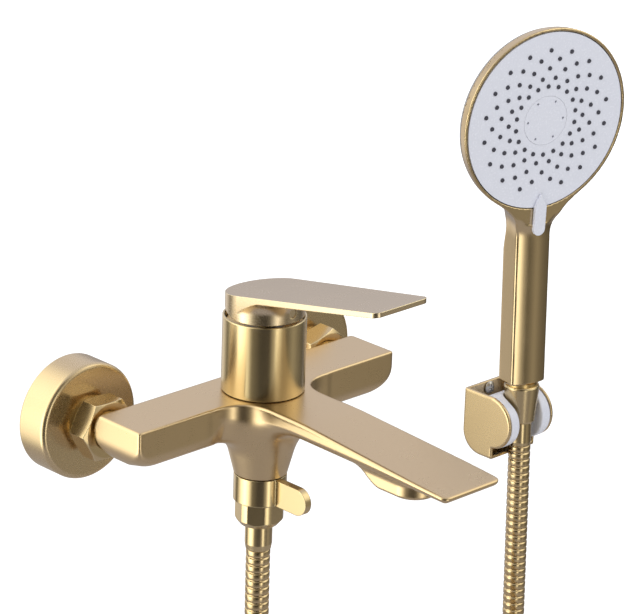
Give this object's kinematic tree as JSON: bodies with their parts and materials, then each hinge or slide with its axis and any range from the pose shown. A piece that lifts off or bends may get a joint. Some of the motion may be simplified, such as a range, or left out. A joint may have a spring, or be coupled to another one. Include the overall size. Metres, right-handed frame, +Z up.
{
  "type": "bath mixer",
  "caption": "Wall mounted bath mixer in satin gold with a blade spout, single lever, diverter under the body, hose, round hand shower and wall holder",
  "frame": {"origin": "on the wall plane, midway between the two inlets and level with their union nuts", "axes": "X along the wall, +Y into the wall, -Y the way the spout points, Z up"},
  "size_m": [0.3889, 0.234, 0.4869],
  "materials": {
    "satin_gold": "satin brushed",
    "polished_gold": "polished",
    "gold_plated_plastic": "satin gold plating on moulded plastic",
    "brass": "machined",
    "hose_metal": "plated double interlock strip",
    "white_plastic": "gloss",
    "grey_plastic": "moulded",
    "rubber": "matt",
    "nozzle_rubber": "soft touch",
    "steel": "plain",
    "ceramic": "lapped"
  },
  "bodies": {
    "fixture": {"body": "satin_gold", "sleeve": "satin_gold", "union_left": "brass", "union_right": "brass", "rosette_left": "satin_gold", "rosette_right": "satin_gold", "union_nut_left": "satin_gold", "union_nut_right": "satin_gold", "nipple_left": "brass", "nipple_right": "brass", "union_washer_left": "rubber", "union_washer_right": "rubber", "check_valve_left": "grey_plastic", "check_valve_right": "grey_plastic", "aerator_housing": "satin_gold", "aerator_insert": "grey_plastic", "aerator_seal": "rubber", "base_seal": "rubber", "cartridge_base": "grey_plastic", "cartridge_housing": "grey_plastic", "fixed_disc": "ceramic", "cartridge_nut": "brass", "outlet_nipple": "brass", "hose_nut": "polished_gold", "hose_washer": "rubber", "ferrule_bottom": "polished_gold", "hose_lower": "hose_metal", "hose_coil": "hose_metal", "hose_upper": "hose_metal", "hose_tie": "rubber", "holder_bracket": "satin_gold", "wall_screws": "steel"},
    "rotor": {"rotor": "grey_plastic"},
    "lever": {"lever": "satin_gold", "lever_screw": "steel", "lever_plug": "grey_plastic", "stem": "brass", "stem_pin": "steel"},
    "disc": {"moving_disc": "ceramic", "disc_carrier": "grey_plastic"},
    "diverter": {"diverter_collar": "polished_gold", "diverter_spool": "brass", "diverter_seals": "rubber", "collar_screw": "steel"},
    "clip": {"clip": "white_plastic"},
    "handset": {"handset_shell": "gold_plated_plastic", "inlet_insert": "brass", "chamber_plate": "grey_plastic", "cone_nut": "polished_gold", "cone_washer": "rubber", "cone_ferrule": "polished_gold"},
    "spray_face": {"face_plate": "white_plastic", "nozzle_mat": "nozzle_rubber", "centre_disc": "white_plastic", "selector_tab": "white_plastic"}
  },
  "joints": [
    {"name": "lever_swing", "type": "hinge", "parent": "fixture", "child": "rotor", "pos_m": [0, -0.062, 0.04], "axis": [0, 0, 1], "range_deg": [-45, 45]},
    {"name": "lever_lift", "type": "hinge", "parent": "rotor", "child": "lever", "pos_m": [0, -0.062, 0.04], "axis": [-1, 0, 0], "range_deg": [0, 15]},
    {"name": "disc_slide", "type": "slide", "parent": "rotor", "child": "disc", "axis": [0, -1, 0], "range_m": [0, 0.0046]},
    {"name": "diverter_turn", "type": "hinge", "parent": "fixture", "child": "diverter", "pos_m": [0, -0.062, -0.04], "axis": [0, 0, 1], "range_deg": [0, 90]},
    {"name": "clip_tilt", "type": "hinge", "parent": "fixture", "child": "clip", "pos_m": [0.2353, -0.027, -0.078], "axis": [1, 0, 0], "range_deg": [0, 30], "deforming": ["hose_upper"]},
    {"name": "handset_lift", "type": "slide", "parent": "clip", "child": "handset", "axis": [0, 0.0262, 0.9997], "range_m": [0, 0.03], "deforming": ["hose_upper"]},
    {"name": "face_turn", "type": "hinge", "parent": "handset", "child": "spray_face", "pos_m": [0.23226, -0.03549, 0.10028], "axis": [-0.2243, -0.9735, -0.0443], "range_deg": [-30, 30]}
  ],
  "couplings": [
    {"joint": "disc_slide", "follows": "lever_lift", "m_per_rad": 0.017}
  ]
}
